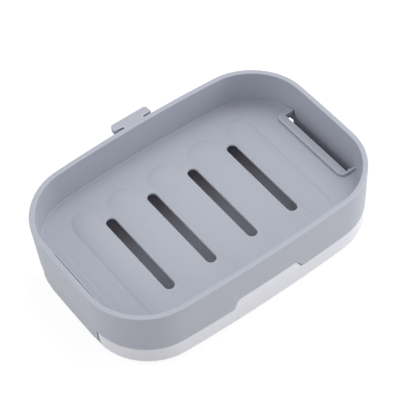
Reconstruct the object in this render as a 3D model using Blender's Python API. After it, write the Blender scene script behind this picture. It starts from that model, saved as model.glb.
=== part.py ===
"""Soap dish: a drain tray with slots, seated in a drip base that stands on four soft feet.

Lengths are in metres, and Z is up. The origin is on the surface that the dish stands on, at the
middle of the box round the whole dish. The notch in the tray's skirt, which the base's tab fills,
is at the front, which faces -Y, and the hinge bar is at the back.
"""

import math

import bmesh
import bpy

# Plan of the tray's rim, at its outer edge
RIM_LENGTH = 0.136
RIM_WIDTH = 0.0876
CORNER_RADIUS = 0.0255
END_BOW = 0.0009
FRONT_BOW = 0.0029
BACK_BOW = 0.0036

# Tray wall, skirt and floor
DISH_HEIGHT = 0.0336
WALL_HEIGHT = 0.0224
WALL_DRAFT = 0.0009
RIM_THICKNESS = 0.00235
RIM_EDGE_RADIUS = 0.00045
TRAY_DEPTH = 0.0168
FLOOR_INSET = 0.0026
FLOOR_FILLET = 0.0006
FLOOR_BORDER = 0.0003
FLOOR_THICKNESS = 0.0024
FLOOR_DIP = 0.0014
FLOOR_SLOPE = 0.0135
SKIRT_THICKNESS = 0.0018

# Drain slots, and the wide low ribs beside them, placed from the rim's ends and its long sides
SLOT_COUNT = 4
SLOT_WIDTH = 0.0047
SLOT_CHAMFER = 0.0004
SLOT_BORDER = 0.0003
SLOT_END_INSET = 0.0356
SLOT_SIDE_INSET = 0.0204
RIB_HEIGHT = 0.0012
RIB_END_INSET = 0.0202
RIB_SIDE_INSET = 0.0085
CREST_WIDTH = 0.0012

# Kerb and opening at each end of the floor
KERB_INSET = 0.0101
KERB_FRONT = 0.0232
KERB_BACK = 0.0227
KERB_HEIGHT = 0.0009
KERB_CORNER = 0.003
KERB_EDGE_RADIUS = 0.0004
OPENING_INSET = 0.0067
OPENING_FRONT = 0.0221
OPENING_BACK = 0.0202
OPENING_RISE = 0.0035
OPENING_BITE = 0.00015

# Flap below each end wall
FLAP_FRONT = 0.018
FLAP_BACK = 0.0202
FLAP_LIFT = 0.0024
FLAP_CORNER = 0.0045

# Notch in the front skirt, and the base's tab in it
NOTCH_TOP_WIDTH = 0.0292
NOTCH_FOOT_WIDTH = 0.0376
NOTCH_HEIGHT = 0.0052
NOTCH_DEPTH = 0.00185
TAB_GAP = 0.0004
TAB_STEP = 0.00006

# Hinge bar behind the back rim
BAR_LENGTH = 0.0191
BAR_THICKNESS = 0.004
BAR_HEIGHT = 0.003
BAR_DROP = 0.0001
BAR_GAP = 0.0011
BAR_WEB_WIDTH = 0.01
BAR_END_RADIUS = 0.0016
BAR_EDGE_RADIUS = 0.0003
BAR_ROOT = 0.0012

# Drip base
SEAT_GAP = 0.0003
BASE_STEP = 0.0001
BASE_FOOT_INSET = 0.0014
BASE_EDGE_RADIUS = 0.0022
BASE_SHOULDER_RADIUS = 0.0004
BASE_WALL = 0.0014
BASE_FLOOR = 0.002
BASE_FILLET = 0.0015
RECESS_FRONT_GAP = 0.0013
RECESS_BACK_GAP = 0.008
RECESS_DROP = 0.0004
SILL_HEIGHT = 0.0042
SILL_INSET = 0.008

# Feet
FOOT_RADIUS = 0.005
FOOT_STAND = 0.0006
FOOT_SOCKET = 0.0009
FOOT_EDGE_RADIUS = 0.0002
FOOT_END_INSET = 0.023
FOOT_SIDE_INSET = 0.0113

# Overrun of every cut and of every root
OVERRUN = 0.004

# Counts of steps along curves
CORNER_STEPS = 12
LONG_SIDE_STEPS = 12
SHORT_SIDE_STEPS = 6
ROUND_STEPS = 4
RIB_STEPS = 6
END_STEPS = 7
FOOT_STEPS = 28

# An edge that turns more than this stays sharp
SHARP_TURN = math.radians(32)

HALF_LENGTH = RIM_LENGTH / 2
HALF_WIDTH = RIM_WIDTH / 2
SLOT_PITCH = (HALF_LENGTH - SLOT_END_INSET) * 2 / (SLOT_COUNT - 1)
VALLEY_WIDTH = SLOT_WIDTH + 2 * (SLOT_CHAMFER + SLOT_BORDER)
FLOOR_Z = DISH_HEIGHT - TRAY_DEPTH
DRAIN_Z = FLOOR_Z - FLOOR_DIP
UNDERSIDE_Z = FLOOR_Z - FLOOR_THICKNESS
SKIRT_Z = DISH_HEIGHT - WALL_HEIGHT
BASE_TOP_Z = UNDERSIDE_Z - SEAT_GAP
SHOULDER_Z = SKIRT_Z - SEAT_GAP
BASE_FLOOR_Z = FOOT_STAND + BASE_FLOOR
TAB_Z = SKIRT_Z + NOTCH_HEIGHT - TAB_GAP
FRONT_REACH = HALF_WIDTH + FRONT_BOW
BACK_REACH = HALF_WIDTH + BACK_BOW + BAR_GAP + BAR_THICKNESS
PLAN_Y = (FRONT_REACH - BACK_REACH) / 2
MIDDLE_Y = (BACK_BOW - FRONT_BOW) / 2


def clear_scene():
    for obj in list(bpy.data.objects):
        bpy.data.objects.remove(obj)


def plastic(name, colour, roughness):
    material = bpy.data.materials.new(name)
    material.use_nodes = True
    shader = material.node_tree.nodes["Principled BSDF"]
    shader.inputs["Base Color"].default_value = (*colour, 1)
    shader.inputs["Roughness"].default_value = roughness
    shader.inputs["Metallic"].default_value = 0
    material.diffuse_color = (*colour, 1)
    return material


def new_object(name, bm, helper=False):
    """An object from a bmesh, which is freed. Helpers shape other pieces and aren't part of the dish."""
    bmesh.ops.recalc_face_normals(bm, faces=bm.faces)
    mesh = bpy.data.meshes.new(name)
    bm.to_mesh(mesh)
    bm.free()
    obj = bpy.data.objects.new(name, mesh)
    obj.location.y = PLAN_Y
    bpy.context.scene.collection.objects.link(obj)
    if helper:
        obj.hide_render = True
        obj.display_type = "WIRE"
    return obj


def loft(rings):
    """A closed mesh through rings of as many points each, with a cap on the first and the last."""
    bm = bmesh.new()
    loops = [[bm.verts.new(point) for point in ring] for ring in rings]
    count = len(loops[0])
    for low, high in zip(loops, loops[1:]):
        for i in range(count):
            j = (i + 1) % count
            bm.faces.new((low[i], low[j], high[j], high[i]))
    bm.faces.new(reversed(loops[0]))
    bm.faces.new(loops[-1])
    return bm


def smooth(obj):
    """Bakes the modifiers into the mesh and shades it smooth up to its real edges."""
    graph = bpy.context.evaluated_depsgraph_get()
    mesh = bpy.data.meshes.new_from_object(obj.evaluated_get(graph))
    mesh.name = obj.name
    obj.modifiers.clear()
    obj.data = mesh
    mesh.shade_smooth()
    mesh.set_sharp_from_angle(angle=SHARP_TURN)


def combine(obj, others, operation):
    for other in others:
        step = obj.modifiers.new(other.name, "BOOLEAN")
        step.operation = operation
        step.object = other


def quarter(steps):
    """Pairs (sine, 1 - cosine) from 0 to a quarter turn, for rounding an edge."""
    turns = [math.pi / 2 * i / steps for i in range(steps + 1)]
    return [(math.sin(turn), 1 - math.cos(turn)) for turn in turns]


def bowed(x, y):
    """A point of the straight-sided plan, moved out by the bow of its side."""
    along = max(0, 1 - (x / HALF_LENGTH) ** 2)
    across = max(0, 1 - (y / HALF_WIDTH) ** 2)
    side_bow = BACK_BOW if y > 0 else FRONT_BOW
    return (
        x + math.copysign(END_BOW * across * abs(x) / HALF_LENGTH, x),
        y + math.copysign(side_bow * along * abs(y) / HALF_WIDTH, y),
    )


def rim_points():
    """The rim's outer edge, counter-clockwise: four round corners joined by bowed sides."""
    corner_x = HALF_LENGTH - CORNER_RADIUS
    corner_y = HALF_WIDTH - CORNER_RADIUS
    points = []
    for quadrant, (side_x, side_y) in enumerate(((1, 1), (-1, 1), (-1, -1), (1, -1))):
        for i in range(CORNER_STEPS + 1):
            turn = math.pi / 2 * (quadrant + i / CORNER_STEPS)
            x = side_x * corner_x + CORNER_RADIUS * math.cos(turn)
            y = side_y * corner_y + CORNER_RADIUS * math.sin(turn)
            points.append((x, y))
        long_side = quadrant % 2 == 0
        steps = LONG_SIDE_STEPS if long_side else SHORT_SIDE_STEPS
        start = points[-1]
        for i in range(1, steps):
            share = i / steps
            if long_side:
                points.append((start[0] * (1 - 2 * share), start[1]))
            else:
                points.append((start[0], start[1] * (1 - 2 * share)))
    return [bowed(x, y) for x, y in points]


def outward(points):
    """The outward unit normal at each point of a counter-clockwise outline."""
    normals = []
    count = len(points)
    for i in range(count):
        before, after = points[i - 1], points[(i + 1) % count]
        run_x, run_y = after[0] - before[0], after[1] - before[1]
        length = math.hypot(run_x, run_y)
        normals.append((run_y / length, -run_x / length))
    return normals


RIM = rim_points()
RIM_NORMALS = outward(RIM)


def ring(z, inset):
    """The plan's outline moved in from the rim's outer edge, at a height."""
    return [(x - nx * inset, y - ny * inset, z) for (x, y), (nx, ny) in zip(RIM, RIM_NORMALS)]


def outer_inset(z):
    """How far the tray's outer face has drawn in below the rim."""
    return WALL_DRAFT * (DISH_HEIGHT - z) / WALL_HEIGHT


def inner_inset(z):
    """The same for the face round the soap, from the rim's thickness to the floor's edge."""
    return RIM_THICKNESS + (FLOOR_INSET - RIM_THICKNESS) * (DISH_HEIGHT - z) / TRAY_DEPTH


def skirt_inset(z):
    """The same for the inner face of the skirt and the flaps, below the floor."""
    return outer_inset(z) + SKIRT_THICKNESS


def slot_centres():
    return [SLOT_PITCH * (i - (SLOT_COUNT - 1) / 2) for i in range(SLOT_COUNT)]


def rib_spans():
    """Where each rib starts and ends along X: from slot to slot, and from the last slot to a crease."""
    half = VALLEY_WIDTH / 2
    crease = HALF_LENGTH - RIB_END_INSET
    starts = [-crease] + [x + half for x in slot_centres()]
    ends = [x - half for x in slot_centres()] + [crease]
    return list(zip(starts, ends))


def stadium(x, length, width, z, steps=END_STEPS):
    """A long outline with round ends, lying along Y midway between the bowed sides."""
    radius = width / 2
    reach = length / 2 - radius
    points = []
    for side in (1, -1):
        middle = MIDDLE_Y + side * reach
        for i in range(steps + 1):
            turn = math.pi * i / steps + (0 if side > 0 else math.pi)
            points.append((x + radius * math.cos(turn), middle + radius * math.sin(turn), z))
    return points


def tray_shell():
    top = DISH_HEIGHT
    rings = [ring(UNDERSIDE_Z, skirt_inset(UNDERSIDE_Z))]
    rings.append(ring(0, skirt_inset(0)))
    rings.append(ring(0, outer_inset(0)))
    rings.append(ring(SKIRT_Z, outer_inset(SKIRT_Z)))
    for sine, fall in quarter(ROUND_STEPS):
        z = top - RIM_EDGE_RADIUS * (1 - sine)
        rings.append(ring(z, outer_inset(z) + RIM_EDGE_RADIUS * fall))
    for sine, fall in reversed(quarter(ROUND_STEPS)):
        z = top - RIM_EDGE_RADIUS * (1 - sine)
        rings.append(ring(z, inner_inset(z) - RIM_EDGE_RADIUS * fall))
    for sine, fall in quarter(ROUND_STEPS):
        z = FLOOR_Z + FLOOR_FILLET * (1 - sine)
        rings.append(ring(z, inner_inset(z) + FLOOR_FILLET * fall))
    foot = FLOOR_INSET + FLOOR_FILLET + FLOOR_BORDER
    rings.append(ring(FLOOR_Z, foot))
    rings.append(ring(DRAIN_Z, foot + FLOOR_SLOPE))
    return new_object("drain_tray", loft(rings))


def rib(start, end):
    """A long low dome on the floor, whose section is an arc and whose ends are round."""
    x = (start + end) / 2
    width = end - start
    length = RIM_WIDTH - 2 * RIB_SIDE_INSET
    radius = ((width / 2) ** 2 + RIB_HEIGHT**2) / (2 * RIB_HEIGHT)
    edge_turn = math.asin(width / 2 / radius)
    crest_turn = math.asin(CREST_WIDTH / 2 / radius)
    rings = [stadium(x, length, width, (DRAIN_Z + UNDERSIDE_Z) / 2)]
    for i in range(RIB_STEPS + 1):
        turn = edge_turn + (crest_turn - edge_turn) * i / RIB_STEPS
        wide = 2 * radius * math.sin(turn)
        z = DRAIN_Z + radius * (math.cos(turn) - math.cos(edge_turn))
        rings.append(stadium(x, length - width + wide, wide, z))
    return new_object("rib", loft(rings), helper=True)


def slot_cutter(x):
    length = RIM_WIDTH - 2 * SLOT_SIDE_INSET
    wide = SLOT_WIDTH + 2 * SLOT_CHAMFER
    long = length + 2 * SLOT_CHAMFER
    rings = [
        stadium(x, length, SLOT_WIDTH, UNDERSIDE_Z - OVERRUN),
        stadium(x, length, SLOT_WIDTH, DRAIN_Z - SLOT_CHAMFER),
        stadium(x, long, wide, DRAIN_Z),
        stadium(x, long, wide, DRAIN_Z + OVERRUN),
    ]
    return new_object("slot", loft(rings), helper=True)


def kerb_outline(side, z, inset):
    """The kerb's outer outline, with round corners towards the middle and its root inside the end wall."""
    near = HALF_LENGTH - KERB_INSET + inset
    front = -KERB_FRONT + inset
    back = KERB_BACK - inset
    corner = KERB_CORNER - inset
    root = HALF_LENGTH - FLOOR_INSET + RIM_THICKNESS / 2
    points = [(root, front), (root, back)]
    for sine, fall in quarter(END_STEPS):
        points.append((near + corner * (1 - sine), back - corner * fall))
    for sine, fall in reversed(quarter(END_STEPS)):
        points.append((near + corner * (1 - sine), front + corner * fall))
    return [(side * x, y, z) for x, y in points]


def kerb(side):
    rings = [kerb_outline(side, (DRAIN_Z + UNDERSIDE_Z) / 2, 0)]
    for sine, fall in quarter(ROUND_STEPS):
        z = FLOOR_Z + KERB_HEIGHT - KERB_EDGE_RADIUS * (1 - sine)
        rings.append(kerb_outline(side, z, KERB_EDGE_RADIUS * fall))
    return new_object("kerb", loft(rings), helper=True)


def end_wall_x(y, inset):
    """How far out the end wall's face is at this y, for a face drawn in from the rim."""
    x, _ = bowed(HALF_LENGTH, y)
    past_side = abs(y) - (HALF_WIDTH - CORNER_RADIUS)
    if past_side > 0:
        x -= CORNER_RADIUS - math.sqrt(CORNER_RADIUS**2 - past_side**2)
    return x - inset


def opening_cutter(side):
    """The opening between the kerb and the end wall, whose outer side runs on down as the wall's face."""
    near = HALF_LENGTH - OPENING_INSET
    span = OPENING_FRONT + OPENING_BACK
    ys = [span * i / END_STEPS - OPENING_FRONT for i in range(END_STEPS + 1)]
    low = UNDERSIDE_Z - OVERRUN
    top = FLOOR_Z + OPENING_RISE
    rings = []
    for z, inset in (
        (low, skirt_inset(low) + OPENING_BITE),
        (UNDERSIDE_Z, skirt_inset(UNDERSIDE_Z) + OPENING_BITE),
        (FLOOR_Z, FLOOR_INSET - OPENING_BITE),
        (top, inner_inset(top) + OPENING_BITE),
    ):
        points = [(near, OPENING_BACK), (near, -OPENING_FRONT)]
        points += [(end_wall_x(y, inset), y) for y in ys]
        rings.append([(side * x, y, z) for x, y in points])
    return new_object("opening", loft(rings), helper=True)


def extruded(outline, start, end):
    """A prism between two copies of an outline: start and end each turn a pair into a point."""
    return loft([[start(a, b) for a, b in outline], [end(a, b) for a, b in outline]])


def skirt_cutter():
    """Everything below the skirt's lower edge except the two flaps, as one prism along X."""
    wide = BACK_REACH + OVERRUN
    flap = []
    for sine, fall in quarter(ROUND_STEPS + 1):
        flap.append((FLAP_BACK - FLAP_CORNER * fall, FLAP_LIFT + FLAP_CORNER * (1 - sine)))
    for sine, fall in reversed(quarter(ROUND_STEPS + 1)):
        flap.append((-FLAP_FRONT + FLAP_CORNER * fall, FLAP_LIFT + FLAP_CORNER * (1 - sine)))
    outline = [(-wide, -OVERRUN), (wide, -OVERRUN), (wide, SKIRT_Z), (FLAP_BACK, SKIRT_Z)]
    outline += flap + [(-FLAP_FRONT, SKIRT_Z), (-wide, SKIRT_Z)]
    reach = HALF_LENGTH + END_BOW + OVERRUN
    bm = extruded(outline, lambda y, z: (-reach, y, z), lambda y, z: (reach, y, z))
    return new_object("below_skirt", bm, helper=True)


def notch_prism(name, gap, depth, foot_z):
    """The notch's shape, less a gap all round. Its sides flow from its top edge to its foot in an S."""
    top = NOTCH_TOP_WIDTH / 2 - gap
    spread = (NOTCH_FOOT_WIDTH - NOTCH_TOP_WIDTH) / 2
    side = []
    for i in range(END_STEPS + 1):
        share = i / END_STEPS
        rise = (1 + math.cos(math.pi * share)) / 2
        side.append((top + spread * share, SKIRT_Z - gap + NOTCH_HEIGHT * rise))
    foot = top + spread
    outline = [(-x, z) for x, z in side] + [(-foot, foot_z), (foot, foot_z)] + list(reversed(side))
    deep = FRONT_REACH - depth
    far = FRONT_REACH + OVERRUN
    bm = extruded(outline, lambda x, z: (x, -far, z), lambda x, z: (x, -deep, z))
    return new_object(name, bm, helper=True)


def hinge_bar():
    """A T seen from above: a web out of the back rim and a bar across it, free of the rim at both ends."""
    face = HALF_WIDTH + BACK_BOW
    near = face + BAR_GAP
    far = near + BAR_THICKNESS
    web = BAR_WEB_WIDTH / 2
    end = BAR_LENGTH / 2
    half = [(web, face - BAR_ROOT), (web, near), (end, near)]
    for sine, fall in reversed(quarter(ROUND_STEPS)):
        half.append((end - BAR_END_RADIUS * (1 - sine), far - BAR_END_RADIUS * fall))
    outline = half + [(-x, y) for x, y in reversed(half)]
    high = DISH_HEIGHT - BAR_DROP
    low = high - BAR_HEIGHT
    bm = extruded(outline, lambda x, y: (x, y, low), lambda x, y: (x, y, high))
    flat = [edge for edge in bm.edges if edge.verts[0].co.z == edge.verts[1].co.z]
    bmesh.ops.bevel(bm, geom=flat, offset=BAR_EDGE_RADIUS, segments=2, profile=0.5, affect="EDGES")
    return new_object("hinge_bar", bm, helper=True)


def make_tray():
    tray = tray_shell()
    ribs = [rib(start, end) for start, end in rib_spans()]
    slots = [slot_cutter(x) for x in slot_centres()]
    kerbs = [kerb(side) for side in (-1, 1)]
    openings = [opening_cutter(side) for side in (-1, 1)]
    notch = notch_prism("notch", 0, NOTCH_DEPTH, SKIRT_Z - OVERRUN)
    added = ribs + kerbs + [hinge_bar()]
    removed = slots + openings + [skirt_cutter(), notch]
    combine(tray, added, "UNION")
    combine(tray, removed, "DIFFERENCE")
    smooth(tray)
    tray.data.materials.clear()
    tray.data.materials.append(plastic("grey_plastic", (0.42, 0.44, 0.49), 0.5))
    for helper in added + removed:
        bpy.data.objects.remove(helper)
    return tray


def base_face_inset():
    """How far in from the rim the base's outer face is at its shoulder."""
    return outer_inset(SKIRT_Z) + BASE_STEP


def base_shell():
    """A shallow bowl whose wall is rebated, so that the tray's skirt stands on the shoulder outside it."""
    shoulder = base_face_inset()
    rebate = skirt_inset(SKIRT_Z) + SEAT_GAP
    inner = rebate + BASE_WALL
    rings = []
    for sine, fall in reversed(quarter(ROUND_STEPS)):
        z = FOOT_STAND + BASE_EDGE_RADIUS * (1 - sine)
        rings.append(ring(z, BASE_FOOT_INSET + BASE_EDGE_RADIUS * fall))
    for top, inset in ((SHOULDER_Z, shoulder), (BASE_TOP_Z, rebate)):
        for sine, fall in quarter(ROUND_STEPS):
            z = top - BASE_SHOULDER_RADIUS * (1 - sine)
            rings.append(ring(z, inset + BASE_SHOULDER_RADIUS * fall))
        rings.append(ring(top, rebate if top == SHOULDER_Z else inner))
    for sine, fall in quarter(ROUND_STEPS):
        z = BASE_FLOOR_Z + BASE_FILLET * (1 - sine)
        rings.append(ring(z, inner + BASE_FILLET * fall))
    return new_object("drip_base", loft(rings))


def block(name, x_span, y_span, z_span):
    (left, right), (front, back) = x_span, y_span
    rings = [[(left, front, z), (right, front, z), (right, back, z), (left, back, z)] for z in z_span]
    return new_object(name, loft(rings), helper=True)


def locating_tab():
    """The tab on the front shoulder that fills the tray's notch, its face in line with the base's."""
    root = SHOULDER_Z - BASE_SHOULDER_RADIUS
    inset = base_face_inset() + TAB_STEP
    tab = new_object("tab", loft([ring(root, inset), ring(TAB_Z + OVERRUN, inset)]), helper=True)
    prism = notch_prism("tab_shape", TAB_GAP, NOTCH_DEPTH - SEAT_GAP, root - OVERRUN)
    combine(tab, [prism], "INTERSECT")
    return tab, prism


def recess_cutters(side):
    """The way through each end of the base for the tray's flap, with a low sill left on its inner side."""
    ends = (-FLAP_FRONT - RECESS_FRONT_GAP, FLAP_BACK + RECESS_BACK_GAP)
    high = BASE_TOP_Z + OVERRUN
    far = side * (HALF_LENGTH + END_BOW + OVERRUN)
    flap_x = side * (end_wall_x(FLAP_BACK, skirt_inset(0)) - SEAT_GAP)
    sill_x = side * (HALF_LENGTH - SILL_INSET)
    outer = block("flap_recess", sorted((flap_x, far)), ends, (FLAP_LIFT - RECESS_DROP, high))
    inner = block("end_gap", sorted((sill_x, far)), ends, (SILL_HEIGHT, high))
    return [outer, inner]


def circle(radius, z):
    turns = [2 * math.pi * i / FOOT_STEPS for i in range(FOOT_STEPS)]
    return [(radius * math.cos(turn), radius * math.sin(turn), z) for turn in turns]


def foot_places():
    x = HALF_LENGTH - FOOT_END_INSET
    y = HALF_WIDTH - FOOT_SIDE_INSET
    return {
        "foot_front_left": (-x, -y),
        "foot_front_right": (x, -y),
        "foot_back_left": (-x, y),
        "foot_back_right": (x, y),
    }


def foot_socket(x, y):
    radius = FOOT_RADIUS + SEAT_GAP
    rings = [circle(radius, z) for z in (FOOT_STAND - OVERRUN, FOOT_STAND + FOOT_SOCKET)]
    socket = new_object("foot_socket", loft(rings), helper=True)
    socket.location.x = x
    socket.location.y += y
    return socket


def make_base():
    base = base_shell()
    tab, prism = locating_tab()
    cutters = [cutter for side in (-1, 1) for cutter in recess_cutters(side)]
    cutters += [foot_socket(x, y) for x, y in foot_places().values()]
    combine(base, [tab], "UNION")
    combine(base, cutters, "DIFFERENCE")
    smooth(base)
    base.data.materials.clear()
    base.data.materials.append(plastic("white_plastic", (0.82, 0.82, 0.84), 0.45))
    for helper in [tab, prism] + cutters:
        bpy.data.objects.remove(helper)
    return base


def make_feet():
    rubber = plastic("foot_rubber", (0.6, 0.6, 0.62), 0.8)
    top = FOOT_STAND + FOOT_SOCKET - SEAT_GAP
    for name, (x, y) in foot_places().items():
        rings = [
            circle(FOOT_RADIUS - FOOT_EDGE_RADIUS, 0),
            circle(FOOT_RADIUS, FOOT_EDGE_RADIUS),
            circle(FOOT_RADIUS, top),
        ]
        foot = new_object(name, loft(rings))
        foot.location.x = x
        foot.location.y += y
        smooth(foot)
        foot.data.materials.append(rubber)


def main():
    clear_scene()
    make_tray()
    make_base()
    make_feet()


main()
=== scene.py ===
"""The soap dish's plastics, with a pale floor, soft lights and a camera at the photo's angle."""

import math

import bmesh
import bpy
from mathutils import Matrix, Vector


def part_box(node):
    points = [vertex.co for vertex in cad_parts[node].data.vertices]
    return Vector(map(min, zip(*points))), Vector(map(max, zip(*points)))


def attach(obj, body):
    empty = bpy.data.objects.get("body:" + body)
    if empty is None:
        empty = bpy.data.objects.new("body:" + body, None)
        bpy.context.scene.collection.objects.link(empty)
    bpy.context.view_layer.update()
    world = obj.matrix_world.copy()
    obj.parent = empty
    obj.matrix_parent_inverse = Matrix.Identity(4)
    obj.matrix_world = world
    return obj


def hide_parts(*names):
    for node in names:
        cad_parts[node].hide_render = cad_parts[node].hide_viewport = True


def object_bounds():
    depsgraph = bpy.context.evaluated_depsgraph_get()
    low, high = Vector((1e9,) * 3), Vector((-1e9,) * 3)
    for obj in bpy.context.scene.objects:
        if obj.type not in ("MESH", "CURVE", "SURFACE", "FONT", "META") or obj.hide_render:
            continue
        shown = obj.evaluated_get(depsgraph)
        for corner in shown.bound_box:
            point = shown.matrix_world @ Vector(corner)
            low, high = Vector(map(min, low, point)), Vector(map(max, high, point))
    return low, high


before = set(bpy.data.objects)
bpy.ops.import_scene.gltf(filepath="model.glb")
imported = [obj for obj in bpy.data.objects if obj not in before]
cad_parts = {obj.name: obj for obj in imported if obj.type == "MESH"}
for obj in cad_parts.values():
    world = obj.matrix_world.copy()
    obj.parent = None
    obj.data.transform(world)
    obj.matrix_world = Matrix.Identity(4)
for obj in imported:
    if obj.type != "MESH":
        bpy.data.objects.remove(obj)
cad_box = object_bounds()

# Camera, in degrees, millimetres of lens and metres, with its target level with the tray's rim
CAMERA_AZIMUTH = -32.63
CAMERA_ELEVATION = 51.15
CAMERA_ROLL = -5.36
CAMERA_LENS = 139.74
CAMERA_SENSOR = 36
CAMERA_DISTANCE = 0.6663
CAMERA_TARGET = (-0.0038, -0.014, cad_box[1].z)
CAMERA_CLIP_SHARE = 0.1

# Lamps, as degrees round from the camera, degrees up, and watts
TOP_LIGHT = (135, 62, 3.9)
RIGHT_LIGHT = (90, 12, 4.7)
LEFT_LIGHT = (-90, 35, 2.4)
LAMP_DISTANCE = 1.1
LAMP_SIZE = 0.6
WORLD_LEVEL = 0.5

# Floor that the dish stands on
FLOOR_HALF = 20
FLOOR_DROP = 0.00005
FLOOR_GLOW = 0.8
FLOOR_SHADE = 0.32
BACKDROP = (0.8, 0.8, 0.8)

# Colours, linear
TRAY_GREY = (0.47, 0.492, 0.56)
BASE_WHITE = (0.86, 0.86, 0.92)
FOOT_GREY = (0.5, 0.5, 0.52)
# Painted shade for the floor inside the base, under the tray, multiplied into its white
INSIDE_SHADE_TONE = (0.7, 0.62, 0.66)

# Finishes and painted edge highlights: the grain is a depth in metres, and the rest are shares.
# The edge light is a painted highlight, how much lighter outer edges are painted, and the calm is how
# far nearly level faces are shaded as if they were level.
TRAY_FINISH_AND_HIGHLIGHT = {"roughness": 0.46, "grain": 0.000012, "unevenness": 0.012, "painted_edge_highlight": 0.3, "calm": 0.55}
BASE_FINISH_AND_HIGHLIGHT = {"roughness": 0.42, "grain": 0.00001, "unevenness": 0.008, "painted_edge_highlight": 0.03}
FOOT_FINISH_AND_HIGHLIGHT = {"roughness": 0.8, "grain": 0.00003, "unevenness": 0.03, "painted_edge_highlight": 0.03}
ROUGHNESS_SPREAD = 0.1
PLASTIC_IOR = 1.47

# Noise, as features per metre and a level of detail, and where most of its values lie
GRAIN_NOISE = (2600, 2)
SHEEN_NOISE = (240, 4)
MOTTLE_NOISE = (240, 3)
CLOUD_NOISE = (26, 2)
NOISE_SPREAD = (0.3, 0.7)

# Painted highlight on outer edges and painted shade in crevices: how far they reach, the shares of
# the view round a point that other faces fill where their tone starts and where it is full, and how
# much darker a crevice is painted
EDGE_HIGHLIGHT_REACH = 0.0006
EDGE_HIGHLIGHT_SHARES = (0.05, 0.3)
CREVICE_SHADE_REACH = 0.0012
CREVICE_SHADE_SHARES = (0.1, 0.45)
CREVICE_SHADE = 0.55
NEARNESS_SAMPLES = 8

# The upward share of a normal where steep, nearly level and upward faces start and are full
STEEP = (0.9, 0.6)
NEARLY_LEVEL = (0.93, 0.955)
UPWARD = (0.5, 0.9)

# Where the painted shade on the floor inside the base, under the tray, starts and is full: heights
# above the base's underside, and distances from its back
INSIDE_SHADE_HEIGHTS = (0.0036, 0.003)
INSIDE_SHADE_DISTANCES = (0.0435, 0.0155)

# Sockets of a mix node: its factor, and two inputs and an output for each kind
MIX_FACTOR = 0
MIX_VECTORS = (4, 5, 1)
MIX_COLOURS = (6, 7, 2)

# Finished mesh
WELD = 0.000002
SHARP_TURN = math.radians(32)
LEVEL_TILT = math.radians(7)
LEVEL_TURN = math.radians(4.5)
EDGE_ROUNDING = 0.00015
ROUNDING_SAMPLES = 4


def turned(azimuth, elevation):
    """The unit vector from the dish towards a place round it: azimuth 0 is in front, 90 at the right."""
    a, e = math.radians(azimuth), math.radians(elevation)
    return Vector((math.sin(a) * math.cos(e), -math.cos(a) * math.cos(e), math.sin(e)))


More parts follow.
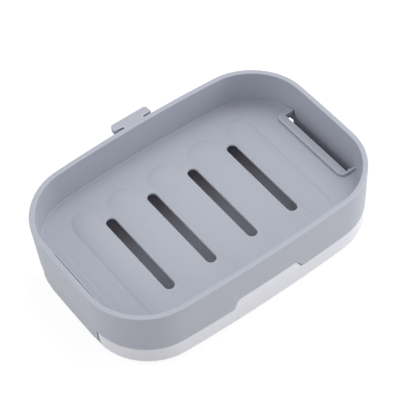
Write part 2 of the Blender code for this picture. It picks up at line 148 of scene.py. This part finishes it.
class Shader:
    """A material's node tree, with short names for what the plastics below share."""

    def __init__(self, name):
        self.material = bpy.data.materials.new(name)
        self.material.use_nodes = True
        self.tree = self.material.node_tree
        self.surface = self.tree.nodes["Principled BSDF"]
        self.coordinates = self.node("ShaderNodeTexCoord").outputs

    def node(self, kind, **settings):
        node = self.tree.nodes.new(kind)
        for name, value in settings.items():
            setattr(node, name, value)
        return node

    def link(self, output, target):
        self.tree.links.new(output, target)

    def ramp(self, value, start, end, low=0, high=1):
        """From low where the value is at the start to high where it is at the end."""
        rise = self.node("ShaderNodeMapRange")
        rise.inputs["From Min"].default_value = start
        rise.inputs["From Max"].default_value = end
        rise.inputs["To Min"].default_value = low
        rise.inputs["To Max"].default_value = high
        self.link(value, rise.inputs["Value"])
        return rise.outputs["Result"]

    def noise(self, scale, detail):
        noise = self.node("ShaderNodeTexNoise")
        noise.inputs["Scale"].default_value = scale
        noise.inputs["Detail"].default_value = detail
        self.link(self.coordinates["Object"], noise.inputs["Vector"])
        return noise.outputs["Fac"]

    def uneven(self, noise, middle, spread):
        """A noise that varies round the middle value by a share of it."""
        return self.ramp(self.noise(*noise), *NOISE_SPREAD, middle * (1 - spread), middle * (1 + spread))

    def parts(self, vector):
        split = self.node("ShaderNodeSeparateXYZ")
        self.link(vector, split.inputs["Vector"])
        return split.outputs

    def scaled(self, value, factor):
        scale = self.node("ShaderNodeMath", operation="MULTIPLY")
        scale.inputs[1].default_value = factor
        self.link(value, scale.inputs[0])
        return scale.outputs["Value"]

    def product(self, a, b):
        both = self.node("ShaderNodeMath", operation="MULTIPLY")
        self.link(a, both.inputs[0])
        self.link(b, both.inputs[1])
        return both.outputs["Value"]

    def shaded(self, colour, amount):
        """The colour times an amount that varies over the surface."""
        scale = self.node("ShaderNodeVectorMath", operation="SCALE")
        scale.inputs[0].default_value = colour
        self.link(amount, scale.inputs["Scale"])
        return scale.outputs["Vector"]

    def mix(self, kind, sockets, first, second, factor):
        """A mix of a linked value and a fixed one, by a linked factor."""
        a, b, mixed = sockets
        mix = self.node("ShaderNodeMix", **kind)
        mix.inputs[b].default_value = second
        self.link(first, mix.inputs[a])
        self.link(factor, mix.inputs[MIX_FACTOR])
        return mix.outputs[mixed]

    def upward(self, start, end):
        """From 0 where the upward share of a normal is at the start to 1 where it is at the end."""
        return self.ramp(self.parts(self.coordinates["Normal"])["Z"], start, end)

    def nearness(self, reach, inside, start, end):
        """From 0 on open faces to 1 in a crevice or, looked for from inside, at an outer edge."""
        near = self.node(
            "ShaderNodeAmbientOcclusion",
            samples=NEARNESS_SAMPLES,
            inside=inside,
            only_local=True,
        )
        near.inputs["Distance"].default_value = reach
        return self.ramp(near.outputs["AO"], 1 - start, 1 - end)

    def painted_edge_light_and_shade(self, amount, light):
        """The amount, with a painted highlight at the outer edges and painted shade in crevices on steep
        faces.
        """
        edge = self.nearness(EDGE_HIGHLIGHT_REACH, True, *EDGE_HIGHLIGHT_SHARES)
        crevice = self.nearness(CREVICE_SHADE_REACH, False, *CREVICE_SHADE_SHARES)
        # Painted highlight on the outer edges
        lighter = self.ramp(edge, 0, 1, 1, 1 + light)
        # Painted shade in crevices on steep faces
        darker = self.ramp(self.product(crevice, self.upward(*STEEP)), 0, 1, 1, 1 - CREVICE_SHADE)
        return self.product(self.product(amount, lighter), darker)

    def levelled(self, normal, share):
        """The normal, turned part of the way to straight up on faces that are nearly level."""
        share_here = self.scaled(self.upward(*NEARLY_LEVEL), share)
        eased = self.mix({"data_type": "VECTOR"}, MIX_VECTORS, normal, (0, 0, 1), share_here)
        unit = self.node("ShaderNodeVectorMath", operation="NORMALIZE")
        self.link(eased, unit.inputs[0])
        return unit.outputs["Vector"]

    def rounded(self):
        """The normal, rounded off at the edges."""
        bevel = self.node("ShaderNodeBevel", samples=ROUNDING_SAMPLES)
        bevel.inputs["Radius"].default_value = EDGE_ROUNDING
        return bevel.outputs["Normal"]

    def relief(self, height, depth, normal):
        """The normal, tilted by heights that differ by up to the depth."""
        bump = self.node("ShaderNodeBump")
        bump.inputs["Distance"].default_value = depth
        self.link(height, bump.inputs["Height"])
        self.link(normal, bump.inputs["Normal"])
        return bump.outputs["Normal"]


def moulded_plastic(name, colour, roughness, grain, unevenness, painted_edge_highlight, calm=0):
    """Satin plastic: a fine grain, a faint cloudiness, a painted highlight on outer edges and painted
    shade in crevices.
    """
    shader = Shader(name)
    inputs = shader.surface.inputs
    cloud = shader.uneven(CLOUD_NOISE, 1, unevenness)
    mottle = shader.uneven(MOTTLE_NOISE, 1, unevenness)
    # The colour's amount, with a painted highlight on outer edges and painted shade in crevices
    amount = shader.painted_edge_light_and_shade(shader.product(cloud, mottle), painted_edge_highlight)
    shader.link(shader.shaded(colour, amount), inputs["Base Color"])
    shader.link(shader.uneven(SHEEN_NOISE, roughness, ROUGHNESS_SPREAD), inputs["Roughness"])
    normal = shader.rounded()
    if calm:
        normal = shader.levelled(normal, calm)
    shader.link(shader.relief(shader.noise(*GRAIN_NOISE), grain, normal), inputs["Normal"])
    inputs["IOR"].default_value = PLASTIC_IOR
    return shader


def paint_inside_shade(shader):
    """Paints shade on the floor inside the base, under the tray, growing from the middle to the back."""
    lowest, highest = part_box("drip_base")
    place = shader.parts(shader.coordinates["Object"])
    low = shader.ramp(place["Z"], *(lowest.z + height for height in INSIDE_SHADE_HEIGHTS))
    back = shader.ramp(place["Y"], *(highest.y - distance for distance in INSIDE_SHADE_DISTANCES))
    where = shader.product(shader.product(low, shader.upward(*UPWARD)), back)
    colour = shader.surface.inputs["Base Color"]
    painted = colour.links[0].from_socket
    kind = {"data_type": "RGBA", "blend_type": "MULTIPLY"}
    shader.link(shader.mix(kind, MIX_COLOURS, painted, (*INSIDE_SHADE_TONE, 1), where), colour)


def weld(mesh):
    """Joins the faces at their edges, so that they can be shaded as one surface."""
    bm = bmesh.new()
    bm.from_mesh(mesh)
    bmesh.ops.remove_doubles(bm, verts=bm.verts, dist=WELD)
    bm.to_mesh(mesh)
    bm.free()


def keep_level(mesh):
    """Ends the smooth shading round nearly level faces, such as the floors, at slight creases too."""
    bm = bmesh.new()
    bm.from_mesh(mesh)
    least = math.cos(LEVEL_TILT)
    for edge in bm.edges:
        level = any(abs(face.normal.z) > least for face in edge.link_faces)
        if level and edge.calc_face_angle(0) > LEVEL_TURN:
            edge.smooth = False
    bm.to_mesh(mesh)
    bm.free()


def finish(name, node, body, shader):
    """Makes a smooth-shaded copy of a CAD node, which stands for it in the scene."""
    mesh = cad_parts[node].data.copy()
    mesh.name = name
    weld(mesh)
    mesh.materials.clear()
    mesh.materials.append(shader.material)
    piece = bpy.data.objects.new(name, mesh)
    bpy.context.scene.collection.objects.link(piece)
    # Zeros clear the normals that the copy brought with it
    mesh.normals_split_custom_set([(0, 0, 0)] * len(mesh.loops))
    mesh.shade_smooth()
    mesh.set_sharp_from_angle(angle=SHARP_TURN)
    keep_level(mesh)
    weighted = piece.modifiers.new("flat_faces_stay_flat", "WEIGHTED_NORMAL")
    weighted.keep_sharp = True
    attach(piece, body)
    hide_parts(node)


def make_dish():
    grey = moulded_plastic("grey_plastic", TRAY_GREY, **TRAY_FINISH_AND_HIGHLIGHT)
    white = moulded_plastic("white_plastic", BASE_WHITE, **BASE_FINISH_AND_HIGHLIGHT)
    # Painted shade on the floor inside the base
    paint_inside_shade(white)
    rubber = moulded_plastic("foot_rubber", FOOT_GREY, **FOOT_FINISH_AND_HIGHLIGHT)
    finish("tray_moulding", "drain_tray", "tray", grey)
    finish("base_moulding", "drip_base", "base", white)
    for node in sorted(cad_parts):
        if node.startswith("foot_"):
            finish(node + "_pad", node, "base", rubber)


def white_seen(tree, plain, glow):
    """A plain look, with a glow in its place for the camera, reflections and clear materials."""
    path = tree.nodes.new("ShaderNodeLightPath")
    seen = path.outputs["Is Camera Ray"]
    for ray in ("Is Glossy Ray", "Is Transmission Ray"):
        either = tree.nodes.new("ShaderNodeMath")
        either.operation = "MAXIMUM"
        tree.links.new(seen, either.inputs[0])
        tree.links.new(path.outputs[ray], either.inputs[1])
        seen = either.outputs["Value"]
    mix = tree.nodes.new("ShaderNodeMixShader")
    tree.links.new(seen, mix.inputs["Fac"])
    tree.links.new(plain, mix.inputs[1])
    tree.links.new(glow, mix.inputs[2])
    return mix.outputs["Shader"]


def floor_material():
    """A floor that lights the dish as a pale one does, and is seen as white with a soft shadow."""
    material = bpy.data.materials.new("floor")
    material.use_nodes = True
    tree = material.node_tree
    tree.nodes.remove(tree.nodes["Principled BSDF"])
    plain = tree.nodes.new("ShaderNodeBsdfDiffuse")
    plain.inputs["Color"].default_value = (*BACKDROP, 1)
    shade = tree.nodes.new("ShaderNodeBsdfDiffuse")
    shade.inputs["Color"].default_value = (FLOOR_SHADE, FLOOR_SHADE, FLOOR_SHADE, 1)
    glow = tree.nodes.new("ShaderNodeEmission")
    glow.inputs["Strength"].default_value = FLOOR_GLOW
    both = tree.nodes.new("ShaderNodeAddShader")
    tree.links.new(shade.outputs["BSDF"], both.inputs[0])
    tree.links.new(glow.outputs["Emission"], both.inputs[1])
    shown = white_seen(tree, plain.outputs["BSDF"], both.outputs["Shader"])
    tree.links.new(shown, tree.nodes["Material Output"].inputs["Surface"])
    return material


def make_floor():
    bm = bmesh.new()
    bmesh.ops.create_grid(bm, x_segments=1, y_segments=1, size=FLOOR_HALF)
    mesh = bpy.data.meshes.new("floor")
    bm.to_mesh(mesh)
    bm.free()
    mesh.materials.append(floor_material())
    floor = bpy.data.objects.new("floor", mesh)
    floor.location.z = -FLOOR_DROP
    bpy.context.scene.collection.objects.link(floor)


def make_world():
    """Soft light from all sides, seen as white."""
    world = bpy.data.worlds.new("studio")
    bpy.context.scene.world = world
    world.use_nodes = True
    tree = world.node_tree
    plain = tree.nodes["Background"]
    plain.inputs["Color"].default_value = (1, 1, 1, 1)
    plain.inputs["Strength"].default_value = WORLD_LEVEL
    white = tree.nodes.new("ShaderNodeBackground")
    white.inputs["Color"].default_value = (1, 1, 1, 1)
    white.inputs["Strength"].default_value = 1
    shown = white_seen(tree, plain.outputs["Background"], white.outputs["Background"])
    tree.links.new(shown, tree.nodes["World Output"].inputs["Surface"])


def softbox(name, from_camera, elevation, power):
    """A square lamp that faces the dish, at an angle round from the camera."""
    lamp = bpy.data.lights.new(name, "AREA")
    lamp.size = LAMP_SIZE
    lamp.energy = power
    holder = bpy.data.objects.new(name, lamp)
    towards = turned(CAMERA_AZIMUTH + from_camera, elevation)
    holder.location = towards * LAMP_DISTANCE
    holder.rotation_euler = towards.to_track_quat("Z", "Y").to_euler()
    bpy.context.scene.collection.objects.link(holder)


def make_lights():
    softbox("top_light", *TOP_LIGHT)
    softbox("right_light", *RIGHT_LIGHT)
    softbox("left_light", *LEFT_LIGHT)


def make_camera():
    """A long lens from the photo's side, rolled a little as the photo is."""
    back = turned(CAMERA_AZIMUTH, CAMERA_ELEVATION)
    right = Vector((0, 0, 1)).cross(back).normalized()
    up = back.cross(right)
    roll = math.radians(CAMERA_ROLL)
    across = right * math.cos(roll) + up * math.sin(roll)
    upward = up * math.cos(roll) - right * math.sin(roll)
    lens = bpy.data.cameras.new("camera")
    lens.sensor_width = CAMERA_SENSOR
    lens.lens = CAMERA_LENS
    lens.clip_start = CAMERA_DISTANCE * CAMERA_CLIP_SHARE
    camera = bpy.data.objects.new("camera", lens)
    place = Matrix.Translation(Vector(CAMERA_TARGET) + back * CAMERA_DISTANCE)
    facing = Matrix((across, upward, back)).transposed().to_4x4()
    camera.matrix_world = place @ facing
    bpy.context.scene.collection.objects.link(camera)
    bpy.context.scene.camera = camera


make_dish()
make_floor()
make_world()
make_lights()
make_camera()
bpy.context.scene.view_settings.view_transform = "Standard"
